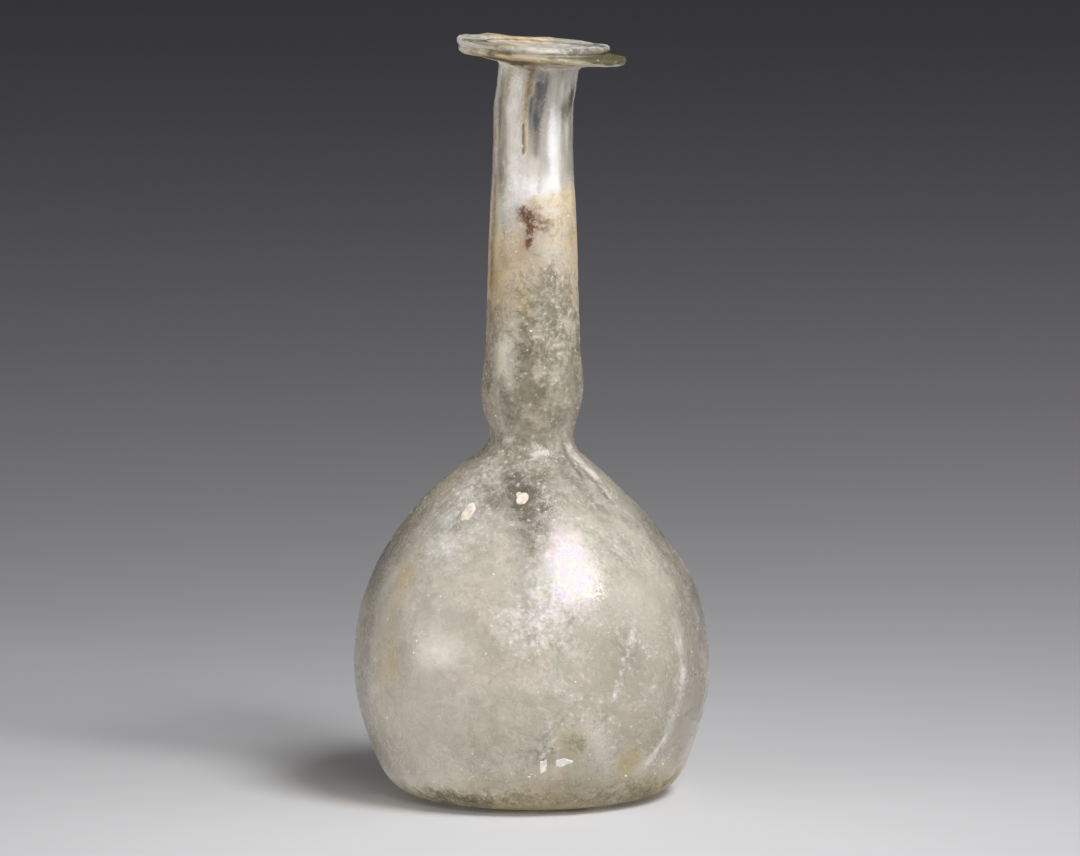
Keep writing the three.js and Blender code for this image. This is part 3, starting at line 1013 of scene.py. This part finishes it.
@dataclass(frozen=True)
class Relief:
    """Unevenness of the glass: lumps, tooling on the neck, pits, a crease and chips."""

    lumps: float = 0.28
    tooling: float = 0.16
    rim_lumps: float = 0.17
    rim_rings: float = 0.09
    pits: int = 260
    pit_heights: tuple[float, float] = (4.0, 150.0)
    pit_widths: tuple[float, float] = (0.5, 1.1)
    pit_depths: tuple[float, float] = (0.05, 0.16)
    belly_radius: float = 37.0
    crease: Streak = Streak(OUTER, GRAIN, (30.5, 28.6), (40.4, 36.4), 0.7, 0.22)
    scoops: tuple[Patch, ...] = (
        Patch(OUTER, GRAIN, 11.5, 3.9, 1.6, 1.7, 0.5),
        Patch(OUTER, GRAIN, 11.8, 10.5, 1.4, 2.4, 0.4),
    )
    seed: int = 5

    def outer(self, skin: Skin) -> np.ndarray:
        """How far each outer point moves out along its normal, in millimetres.

        Args:
            skin: The smooth skin.

        Returns:
            Low lumps plus, on the neck, flats left by the tools and drawn lines that run up it,
            less small round pits and the shallow scoops of chips. The rim has lumps and rings of
            its own, and the kick under the foot has nothing.
        """
        points, z, bearing = skin.points, skin.height, skin.bearing
        turn = np.radians(bearing)
        free = smoothstep(0.2, 5.0, z)
        lumps = self.lumps * fractal(points, 17.0, 2, self.seed)
        neck = smoothstep(77.0, 82.0, z) * smoothstep(158.0, 148.0, z)
        knuckle = np.exp(-(((z - 84.5) / 6.0) ** 2))
        drawn = np.concatenate([points[..., :2], points[..., 2:] / 14.0], axis=-1)
        flats = np.cos(5.0 * turn + 0.6 + 0.02 * z) * (0.35 + 0.9 * knuckle)
        tooled = self.tooling * neck * (flats + 0.7 * fractal(drawn, 3.4, 2, self.seed + 7))
        moved = free * (lumps * (1.0 - 0.75 * neck) + tooled) - self.pitted(skin) - self.chipped(z, bearing)
        rim = skin.rim_rows
        moved[rim] *= smoothstep(1.0, 0.45, np.linspace(0.0, 1.0, len(moved[rim])))[:, None]
        moved[rim] += self.rim_lumps * fractal(points[rim], 4.2, 3, 91)
        moved[rim] += self.rim_rings * ring_streaks(skin, 0.8, 57)[rim]
        moved[: skin.outer_rows.start] = 0.0
        return moved

    def pitted(self, skin: Skin) -> np.ndarray:
        """Depth of small round pits scattered on the outer wall, each a Gaussian dimple."""
        draw = np.random.default_rng(self.seed)
        at_z = draw.uniform(*self.pit_heights, self.pits)
        at_bearing = draw.uniform(0.0, 360.0, self.pits)
        width = draw.uniform(*self.pit_widths, self.pits)
        depth = draw.uniform(*self.pit_depths, self.pits)
        centres, _ = skin.at(skin.row_at(at_z), at_bearing)
        flat = skin.points.reshape(-1, 3)
        total = np.zeros(len(flat))
        for centre, wide, deep in zip(centres, width, depth):
            near = np.sum((flat - centre) ** 2, axis=1)
            total += deep * np.exp(-near / (wide * wide))
        return total.reshape(skin.height.shape)

    def chipped(self, z: np.ndarray, bearing: np.ndarray) -> np.ndarray:
        """Depth of the crease on the belly and of the chips above the foot."""
        (low, start), (high, end) = self.crease.start, self.crease.end
        line = start + (end - start) * np.clip((z - low) / (high - low), 0.0, 1.0)
        off = turned_difference(bearing, line) * math.radians(1.0) * self.belly_radius / self.crease.wide
        depth = self.crease.amount * np.exp(-(off**2))
        depth = depth * smoothstep(low - 2.5, low + 2.5, z) * smoothstep(high + 2.6, high - 2.4, z)
        return depth + sum(scoop.field(z, bearing, z) for scoop in self.scoops)

    def inner(self, skin: Skin) -> np.ndarray:
        """How far each inner point moves along its normal: the film's uneven thickness."""
        return 0.05 * fractal(skin.points, 3.2, 2, self.seed + 60) + 0.14 * fractal(
            skin.points, 12.0, 2, self.seed + 70)


# ---------------------------------------------------------------- finishes


@dataclass(frozen=True)
class WeatheredGlass:
    """Clear greenish glass with a milky film, soil and stains on its walls, and painted highlights,
    sheen and shade in the film's colour.
    """

    tint: tuple[float, float, float, float] = (0.93, 0.84, 0.60, 1.0)
    tint_density: float = 30.0
    shadow_tint: tuple[float, float, float, float] = (0.81, 0.78, 0.745, 1.0)
    cream: tuple[float, float, float, float] = (0.87, 0.84, 0.79, 1.0)
    grey: tuple[float, float, float, float] = (0.60, 0.59, 0.545, 1.0)
    mist: tuple[float, float, float, float] = (0.68, 0.705, 0.655, 1.0)
    sand: tuple[float, float, float, float] = (0.83, 0.67, 0.43, 1.0)
    earth: tuple[float, float, float, float] = (0.46, 0.32, 0.17, 1.0)
    rust: tuple[float, float, float, float] = (0.17, 0.055, 0.030, 1.0)
    soot: tuple[float, float, float, float] = (0.07, 0.045, 0.030, 1.0)
    yellow: tuple[float, float, float, float] = (0.60, 0.47, 0.25, 1.0)
    umber_and_shade: tuple[float, float, float, float] = (0.16, 0.155, 0.105, 1.0)
    olive: tuple[float, float, float, float] = (0.09, 0.08, 0.036, 1.0)
    white: tuple[float, float, float, float] = (0.93, 0.94, 0.945, 1.0)
    pink: tuple[float, float, float, float] = (0.98, 0.76, 0.82, 1.0)
    lilac: tuple[float, float, float, float] = (0.80, 0.74, 0.95, 1.0)
    lemon: tuple[float, float, float, float] = (0.98, 0.94, 0.72, 1.0)
    glow: tuple[float, float, float, float] = (0.84, 0.79, 0.70, 1.0)
    glow_share: float = 0.22
    ior: float = 1.5

    def film_colour(self, g: Graph, mottle: Wire, fine: Wire, specks: Wire) -> Wire:
        """The film's colour: cream to grey by noise, then each attribute's colour over it, among them
        painted highlight, sheen and shade.
        """
        colour = g.blend((mottle + fine * 0.8).rise(0.72, 1.08), self.cream, self.grey)
        colour = g.blend(g.noise(15.0, 3.0).rise(0.45, 0.62) * 0.55, colour, self.mist)
        # Pale lays white: pale film, and a painted highlight and painted reflection where marks put it.
        colour = g.blend(g.attribute("pale") * (0.35 + mottle), colour, self.white)
        # A painted iridescent sheen of pink, lilac and lemon, laid round the key light's highlight.
        sheen = g.blend(g.noise(2.6, 1.0, 0.5, 1.5).rise(0.40, 0.60), self.pink, self.lilac)
        sheen = g.blend(g.noise(1.7, 1.0, 0.5, 2.0).rise(0.50, 0.64), sheen, self.lemon)
        colour = g.blend(g.attribute("painted_sheen") * g.noise(4.0, 2.0).rise(0.34, 0.52), colour, sheen)
        colour = g.blend(g.noise(9.0, 2.0).rise(0.52, 0.75) * 0.15, colour, self.pink)
        colour = g.blend((g.attribute("stain") * (fine + 0.5)).rise(0.12, 1.0), colour, self.yellow)
        ground = (mottle * 0.45 + fine * 0.5 + g.noise(6.5, 3.0) * 0.45).rise(0.62, 0.86)
        ground = g.blend(ground, self.sand, self.earth)
        soil = (g.attribute("soil") * (mottle + fine)).rise(0.25, 1.15)
        colour = g.blend(soil * 0.9, colour, ground)
        # Dark lays umber: dark stain and spots, and painted shade and painted darkness of the background seen
        # through, where marks put it.
        gaps = (mottle * 0.6 + fine * 0.4).rise(0.60, 0.42)
        dark = (g.attribute("dark") * (0.55 + gaps * 0.6)).rise(0.05, 1.0)
        colour = g.blend(dark * 0.9, colour, self.umber_and_shade)
        colour = g.blend((g.attribute("moss") * (fine + mottle)).rise(0.30, 1.1) * 0.97, colour, self.olive)
        colour = g.blend(specks * 0.7, colour, self.white)
        spots = g.noise(1.1, 5.0, 0.8).rise(0.38, 0.58)
        tarnish = g.blend(g.noise(1.6, 2.0).rise(0.45, 0.60), self.rust, self.soot)
        return g.blend(g.attribute("rust") * (0.28 + spots * 0.72), colour, tarnish)

    def build(self) -> bpy.types.Material:
        """Makes the material: film mixed over glass, by attributes and fine noise."""
        g = Graph("weathered_glass")
        mottle = g.noise(3.2, 4.0, 0.62, 0.4)
        fine = g.noise(0.95, 3.0, 0.7, 0.3)
        grain = g.attribute("grain")
        specks = g.noise(0.95, 1.5, 0.5).rise(0.64, 0.72) * 0.45
        cover = (
            g.attribute("film")
            + (mottle - 0.5) * grain * 1.3
            + (fine - 0.5) * grain * 1.5
            + g.attribute("soil") * 0.25
            + specks * 0.3
            + g.attribute("rust") * 0.35
            + g.attribute("moss") * 0.6
        )
        mirror = g.node("ShaderNodeFresnel", inputs={"IOR": self.ior}) * g.attribute("loose")
        share = cover.rise(0.10, 0.92) * (1.0 - mirror)

        bumps = g.node("ShaderNodeBump", inputs={
            "Strength": 0.35, "Distance": 0.0004, "Height": (fine + mottle * 1.5) * (grain * 0.5 + 0.25)})
        glass = g.node("ShaderNodeBsdfPrincipled", inputs={
            "Base Color": (1.0, 1.0, 1.0, 1.0),
            "Roughness": 0.14 + mottle.rise(0.35, 0.75) * 0.20,
            "IOR": self.ior,
            "Transmission Weight": 1.0,
            "Normal": bumps,
        })
        clear = g.node("ShaderNodeBsdfTransparent", inputs={"Color": self.shadow_tint})
        seen = g.mix(g.ray("Is Diffuse Ray"), glass, clear)
        glass_side = g.mix(g.ray("Is Shadow Ray"), seen, clear)

        crust = g.node("ShaderNodeBsdfPrincipled", inputs={
            "Base Color": self.film_colour(g, mottle, fine, specks),
            "Roughness": 0.36 + fine * 0.4 + g.attribute("painted_sheen") * 0.25,
            "Specular IOR Level": 0.4,
            "Normal": bumps,
        })
        glow = g.node("ShaderNodeBsdfTranslucent", inputs={"Color": self.glow})
        thin = (1.0 - g.attribute("moss").rise(0.0, 1.1)) * self.glow_share
        film_side = g.mix(thin, crust, glow)
        volume = g.node("ShaderNodeVolumeAbsorption", inputs={
            "Color": self.tint, "Density": self.tint_density})
        return g.finish(g.mix(share, glass_side, film_side), volume)


@dataclass(frozen=True)
class Crust:
    """A dull mineral crust, mottled between two colours."""

    name: str
    light: tuple[float, float, float, float]
    dark: tuple[float, float, float, float]
    roughness: float = 0.8

    def build(self) -> bpy.types.Material:
        """Makes the material: two colours by fine noise, with a fine grainy bump."""
        g = Graph(self.name)
        grain = g.noise(0.5, 4.0, 0.7)
        bump = g.node("ShaderNodeBump", inputs={"Strength": 0.5, "Distance": 0.0002, "Height": grain})
        surface = g.node("ShaderNodeBsdfPrincipled", inputs={
            "Base Color": g.blend(g.noise(1.2, 4.0, 0.6).rise(0.35, 0.68), self.light, self.dark),
            "Roughness": self.roughness - 0.2 * grain,
            "Specular IOR Level": 0.3,
            "Normal": bump,
        })
        return g.finish(surface)


@dataclass(frozen=True)
class PaperWithPaintedLightPool:
    """Pale paper with a painted pool of light: its tone darkens evenly with distance from its middle."""

    tone: tuple[float, float, float, float] = (0.675, 0.68, 0.70, 1.0)
    far_painted_shade: tuple[float, float, float, float] = (0.24, 0.235, 0.255, 1.0)
    reach: float = 0.25
    fall: float = 1.2
    middle: tuple[float, float, float] = (-0.01, -0.08, 0.0)

    def build(self) -> bpy.types.Material:
        """Makes the material: a painted pool of light, whose tone falls as 1 + (distance / reach) squared, to
        the power -fall.
        """
        g = Graph("paper_with_painted_light_pool")
        away = g.node("ShaderNodeVectorMath", {"operation": "DISTANCE"},
                      {"Vector": g.place, "Vector_001": self.middle}, "Value")
        share = 1.0 - ((away / self.reach) ** 2.0 + 1.0) ** -self.fall
        surface = g.node("ShaderNodeBsdfPrincipled", inputs={
            "Base Color": g.blend(share, self.tone, self.far_painted_shade),
            "Roughness": 0.9,
            "Specular IOR Level": 0.1,
        })
        return g.finish(surface)


# ---------------------------------------------------------------- the pieces


@dataclass
class Flask:
    """The glass itself: the blown form with its relief, in one closed skin."""

    form: BlownForm = field(default_factory=BlownForm)
    relief: Relief = field(default_factory=Relief)
    weathering: Weathering = field(default_factory=Weathering)
    map_margin: float = 0.01
    skin: Skin | None = None

    def shaped(self) -> Skin:
        """The skin with its relief: each point moved along its normal, held above the floor.

        The few rows where the rim turns into the inner wall stay where they are.
        """
        smooth = self.form.skin()
        move = np.where(smooth.inside[:, None], self.relief.inner(smooth), self.relief.outer(smooth))
        join = smooth.rim_rows.stop + np.arange(-3, 4)
        move[join] = 0.0
        points = smooth.points + smooth.normals() * move[..., None]
        points[..., 2] = np.maximum(points[..., 2], 0.0)
        return replace(smooth, points=points)

    def build(self) -> bpy.types.Object:
        """Makes the mesh with its attributes and texture map, and dresses it."""
        self.skin = self.shaped()
        rows, columns = self.skin.height.shape
        grid = self.skin.points
        poles = [grid[i].mean(axis=0, keepdims=True) for i in (0, -1)]
        corners = np.concatenate([poles[0], grid.reshape(-1, 3), poles[1]])
        made = put_mesh("blown_flask", corners, closed_grid_faces(rows, columns))
        for name, values in self.weathering.fields(self.skin).items():
            attribute = made.data.attributes.new(name, "FLOAT", "POINT")
            ends = [values[i].mean(keepdims=True) for i in (0, -1)]
            attribute.data.foreach_set(
                "value", np.concatenate([ends[0], values.ravel(), ends[1]]).astype(np.float32))
        self.unwrap(made)
        made.data.materials.append(WeatheredGlass().build())
        return made

    def unwrap(self, made: bpy.types.Object) -> None:
        """Gives the skin a texture map: the turn round the axis across, the way along the rows up."""
        rows, columns = self.skin.height.shape
        steps = np.linalg.norm(np.diff(self.skin.points[:, 0], axis=0), axis=1)
        way = np.concatenate([[0.0], np.cumsum(steps)])
        way = self.map_margin + (1.0 - 2.0 * self.map_margin) * way / way[-1]
        j = np.arange(columns)
        low, high = np.repeat(way[:-1], columns), np.repeat(way[1:], columns)
        left, right = np.tile(j, rows - 1) / columns, np.tile(j + 1, rows - 1) / columns
        quads = np.stack([left, low, right, low, right, high, left, high], axis=-1).ravel()
        left, right, middle = j / columns, (j + 1) / columns, (j + 0.5) / columns
        under = np.stack([middle, 0 * j, right, 0 * j + way[0], left, 0 * j + way[0]], axis=-1).ravel()
        over = np.stack([middle, 0 * j + 1.0, left, 0 * j + way[-1], right, 0 * j + way[-1]], axis=-1)
        layer = made.data.uv_layers.new(name="OFBake")
        layer.data.foreach_set("uv", np.concatenate([quads, under, over.ravel()]).astype(np.float32))


@dataclass(frozen=True)
class Flake:
    """A thin crust on the outer wall, in millimetres and degrees."""

    name: str
    z: float
    bearing: float
    high: float
    wide: float
    thick: float
    slant: float
    seed: int
    rings: int = 7
    columns: int = 26
    raggedness: float = 0.32
    dents: float = 0.35
    sink: float = 0.12

    def build(self, skin: Skin, finish: Crust) -> bpy.types.Object:
        """Makes the flake: rings of a ragged outline laid on the wall, domed above and flat below.

        Args:
            skin: The flask's skin, which the flake lies on.
            finish: The flake's crust.

        Returns:
            The object.
        """
        angle = np.arange(self.columns) / self.columns * 2.0 * np.pi
        round_trip = np.stack([np.cos(angle), np.sin(angle), 0 * angle], axis=-1)
        ragged = 1.0 + self.raggedness * fractal(round_trip, 0.9, 3, self.seed)
        out = np.concatenate([np.linspace(0.15, 1.0, self.rings), np.linspace(0.96, 0.15, self.rings - 2)])
        above = np.arange(len(out)) < self.rings
        across = out[:, None] * ragged * np.cos(angle) * self.wide
        upward = out[:, None] * ragged * np.sin(angle) * self.high + across * self.slant
        base, _ = skin.at(skin.row_at(np.array([self.z])), np.array([self.bearing]))
        radius = np.linalg.norm(base[0, :2])
        row = skin.row_at(self.z + upward * 0.9)
        points, normals = skin.at(row, self.bearing + np.degrees(across / radius))
        dome = self.thick * np.sqrt(np.clip(1.02 - out**2, 0.0, 1.0))[:, None]
        dome = dome * (1.0 + self.dents * fractal(points, 0.8, 2, self.seed + 3))
        rise = np.where(above[:, None], dome, -self.sink)
        points = points + normals * rise[..., None]
        ends = [points[i].mean(axis=0, keepdims=True) for i in (0, -1)]
        corners = np.concatenate([ends[0], points.reshape(-1, 3), ends[1]])
        faces = closed_grid_faces(len(out), self.columns)
        made = put_mesh(self.name, corners, [f[:, ::-1] for f in faces])
        made.data.materials.append(finish.build())
        return made


@dataclass(frozen=True)
class Grains:
    """Small white grains of crust that sit on the outer wall."""

    count: int = 520
    seed: int = 23
    heights: tuple[float, float] = (6.0, 128.0)
    least: float = 0.13
    spread: float = 0.26
    squash: tuple[float, float, float] = (1.0, 0.7, 0.30)

    def build(self, skin: Skin) -> bpy.types.Object:
        """Makes all grains as one mesh: flattened, dented lumps of twenty faces each.

        Args:
            skin: The flask's skin, which the grains sit on.

        Returns:
            The object.
        """
        draw = np.random.default_rng(self.seed)
        lump, faces = self.lump()
        z = draw.uniform(*self.heights, self.count)
        bearing = draw.uniform(0.0, 360.0, self.count)
        keep = draw.uniform(0.0, 1.0, self.count) < 0.25 + 0.75 * smoothstep(62.0, 40.0, z)
        z, bearing = z[keep], bearing[keep]
        count = len(z)
        points, normals = skin.at(skin.row_at(z), bearing)
        side = np.cross(normals, np.array([0.0, 0.0, 1.0]))
        side /= np.linalg.norm(side, axis=1, keepdims=True)
        upward = np.cross(normals, side)
        spin = draw.uniform(0.0, 2.0 * np.pi, count)[:, None]
        first = side * np.cos(spin) + upward * np.sin(spin)
        second = upward * np.cos(spin) - side * np.sin(spin)
        size = self.least + self.spread * draw.uniform(0.0, 1.0, (count, 1)) ** 2.5
        shape = lump[None] * draw.uniform(0.75, 1.25, (count, len(lump), 1))
        local = shape * size[..., None] * np.array(self.squash)
        made = points[:, None] + (
            local[..., :1] * first[:, None]
            + local[..., 1:2] * second[:, None]
            + local[..., 2:] * normals[:, None]
        )
        numbers = faces[None] + (np.arange(count) * len(lump))[:, None, None]
        piece = put_mesh("surface_grains", made.reshape(-1, 3), [numbers.reshape(-1, 3)])
        piece.data.materials.append(
            Crust("white_grain", (0.86, 0.84, 0.78, 1.0), (0.70, 0.66, 0.56, 1.0)).build())
        return piece

    def lump(self) -> tuple[np.ndarray, np.ndarray]:
        """The twelve corners and twenty faces of an icosahedron, facing outwards."""
        golden = (1.0 + math.sqrt(5.0)) / 2.0
        corners = np.array([
            (-1, golden, 0), (1, golden, 0), (-1, -golden, 0), (1, -golden, 0),
            (0, -1, golden), (0, 1, golden), (0, -1, -golden), (0, 1, -golden),
            (golden, 0, -1), (golden, 0, 1), (-golden, 0, -1), (-golden, 0, 1),
        ]) / math.hypot(1.0, golden)
        faces = np.array([
            (0, 11, 5), (0, 5, 1), (0, 1, 7), (0, 7, 10), (0, 10, 11), (1, 5, 9), (5, 11, 4),
            (11, 10, 2), (10, 7, 6), (7, 1, 8), (3, 9, 4), (3, 4, 2), (3, 2, 6), (3, 6, 8),
            (3, 8, 9), (4, 9, 5), (2, 4, 11), (6, 2, 10), (8, 6, 7), (9, 8, 1),
        ])
        return corners, faces


# ---------------------------------------------------------------- studio


@dataclass(frozen=True)
class Softbox:
    """A square or oblong light: where it stands, what it faces, its sides and its power.

    One that doesn't glint lights dull surfaces and leaves no reflection.
    """

    name: str
    place: tuple[float, float, float]
    target: tuple[float, float, float]
    wide: float
    high: float
    power: float
    colour: tuple[float, float, float] = (1.0, 1.0, 1.0)
    glints: bool = True

    def build(self) -> None:
        """Makes the area light, facing its target."""
        lamp = bpy.data.lights.new(self.name, "AREA")
        lamp.shape = "RECTANGLE"
        lamp.size, lamp.size_y = self.wide, self.high
        lamp.energy = self.power
        lamp.color = self.colour
        made = bpy.data.objects.new(self.name, lamp)
        made.location = self.place
        made.visible_glossy = self.glints
        made.rotation_euler = (Vector(self.target) - Vector(self.place)).to_track_quat("-Z", "Y").to_euler()
        bpy.context.scene.collection.objects.link(made)


@dataclass(frozen=True)
class Studio:
    """Floor, lights, surroundings and camera."""

    camera_distance: float = 1.4
    camera_elevation: float = 7.5
    aim: tuple[float, float, float] = (0.00173, 0.0, 0.0778)
    frame_width: float = 0.22785
    sensor: float = 36.0
    floor_radius: float = 6.0
    floor_rings: int = 24
    floor_columns: int = 96
    room_colour: tuple[float, float, float, float] = (0.80, 0.84, 0.92, 1.0)
    room_strength: float = 0.10
    lights: tuple[Softbox, ...] = (
        Softbox("key", (0.62, -0.63, 1.21), (0.0, 0.0, 0.05), 0.50, 0.50, 18.5, (1.0, 0.985, 0.96)),
        Softbox("right_side", (0.95, -0.35, 0.45), (0.0, 0.0, 0.10), 0.9, 0.7, 2.8),
        Softbox("left_side", (-0.95, -0.55, 0.16), (0.0, 0.0, 0.08), 0.8, 0.26, 5.8, (1.0, 0.97, 0.94),
                glints=False),
        Softbox("front_fill", (0.38, -1.22, 0.75), (0.0, 0.0, 0.08), 0.6, 0.4, 5.4, glints=False),
    )

    def floor(self) -> None:
        """Lays the floor: rings of a disc round the middle, on which the flask stands."""
        rings = np.geomspace(0.02, self.floor_radius, self.floor_rings) / MM
        j = np.arange(self.floor_columns)
        turn = j / self.floor_columns * 2.0 * np.pi
        grid = np.stack(np.broadcast_arrays(
            rings[:, None] * np.cos(turn), rings[:, None] * np.sin(turn), 0.0), axis=-1)
        k = (j + 1) % self.floor_columns
        base = 1 + np.arange(len(rings) - 1)[:, None] * self.floor_columns
        above = base + self.floor_columns
        quads = np.stack([base + j, above + j, above + k, base + k], axis=-1)
        middle = np.stack([0 * j, 1 + j, 1 + k], axis=-1)
        corners = np.concatenate([np.zeros((1, 3)), grid.reshape(-1, 3)])
        made = put_mesh("studio_floor", corners, [quads.reshape(-1, 4), middle])
        made.data.materials.append(PaperWithPaintedLightPool().build())

    def surroundings(self) -> None:
        """Fills the room with dim, even grey light."""
        world = bpy.data.worlds.new("studio_room")
        world.use_nodes = True
        backdrop = world.node_tree.nodes["Background"]
        backdrop.inputs["Color"].default_value = self.room_colour
        backdrop.inputs["Strength"].default_value = self.room_strength
        bpy.context.scene.world = world
        bpy.context.scene.view_settings.view_transform = "Standard"

    def camera(self) -> None:
        """Stands the camera a little above the flask, looking slightly down at it."""
        lens = bpy.data.cameras.new("camera")
        lens.sensor_width = self.sensor
        lens.lens = self.sensor * self.camera_distance / self.frame_width
        lens.clip_end = 20.0
        tilt = math.radians(self.camera_elevation)
        back = Vector((0.0, -math.cos(tilt), math.sin(tilt)))
        made = bpy.data.objects.new("camera", lens)
        made.location = Vector(self.aim) + back * self.camera_distance
        made.rotation_euler = (-back).to_track_quat("-Z", "Y").to_euler()
        bpy.context.scene.collection.objects.link(made)
        bpy.context.scene.camera = made

    def build(self) -> None:
        """Builds the whole studio."""
        self.camera()
        self.floor()
        self.surroundings()
        for light in self.lights:
            light.build()


def settle(piece: bpy.types.Object) -> None:
    """Rides a piece on the flask's body and reports it."""
    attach(piece, BODY)
    LOG.info("%s: %d faces", piece.name, len(piece.data.polygons))


def main() -> None:
    """Builds the flask, its crusts and the studio."""
    logging.basicConfig(level=logging.INFO, format="%(name)s: %(message)s")
    Studio().build()
    flask = Flask()
    body = flask.build()
    settle(body)
    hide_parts("flask")
    cream_crust = Crust("cream_crust", (0.82, 0.75, 0.66, 1.0), (0.60, 0.50, 0.40, 1.0))
    white_scar = Crust("white_scar", (0.86, 0.85, 0.80, 1.0), (0.66, 0.65, 0.58, 1.0), 0.6)
    flakes = (
        (Flake("shoulder_flake", 62.5, -34.0, 2.1, 1.2, 0.25, -0.25, 3), cream_crust),
        (Flake("round_flake", 65.7, -3.1, 1.35, 1.35, 0.3, 0.0, 8), cream_crust),
        (Flake("foot_scar_left", 11.5, 3.9, 2.0, 0.95, 0.1, 0.1, 12), white_scar),
        (Flake("foot_scar_right", 12.2, 10.5, 0.9, 2.0, 0.1, 0.2, 15), white_scar),
    )
    for flake, finish in flakes:
        settle(flake.build(flask.skin, finish))
    settle(Grains().build(flask.skin))


if __name__ == "__main__":
    main()
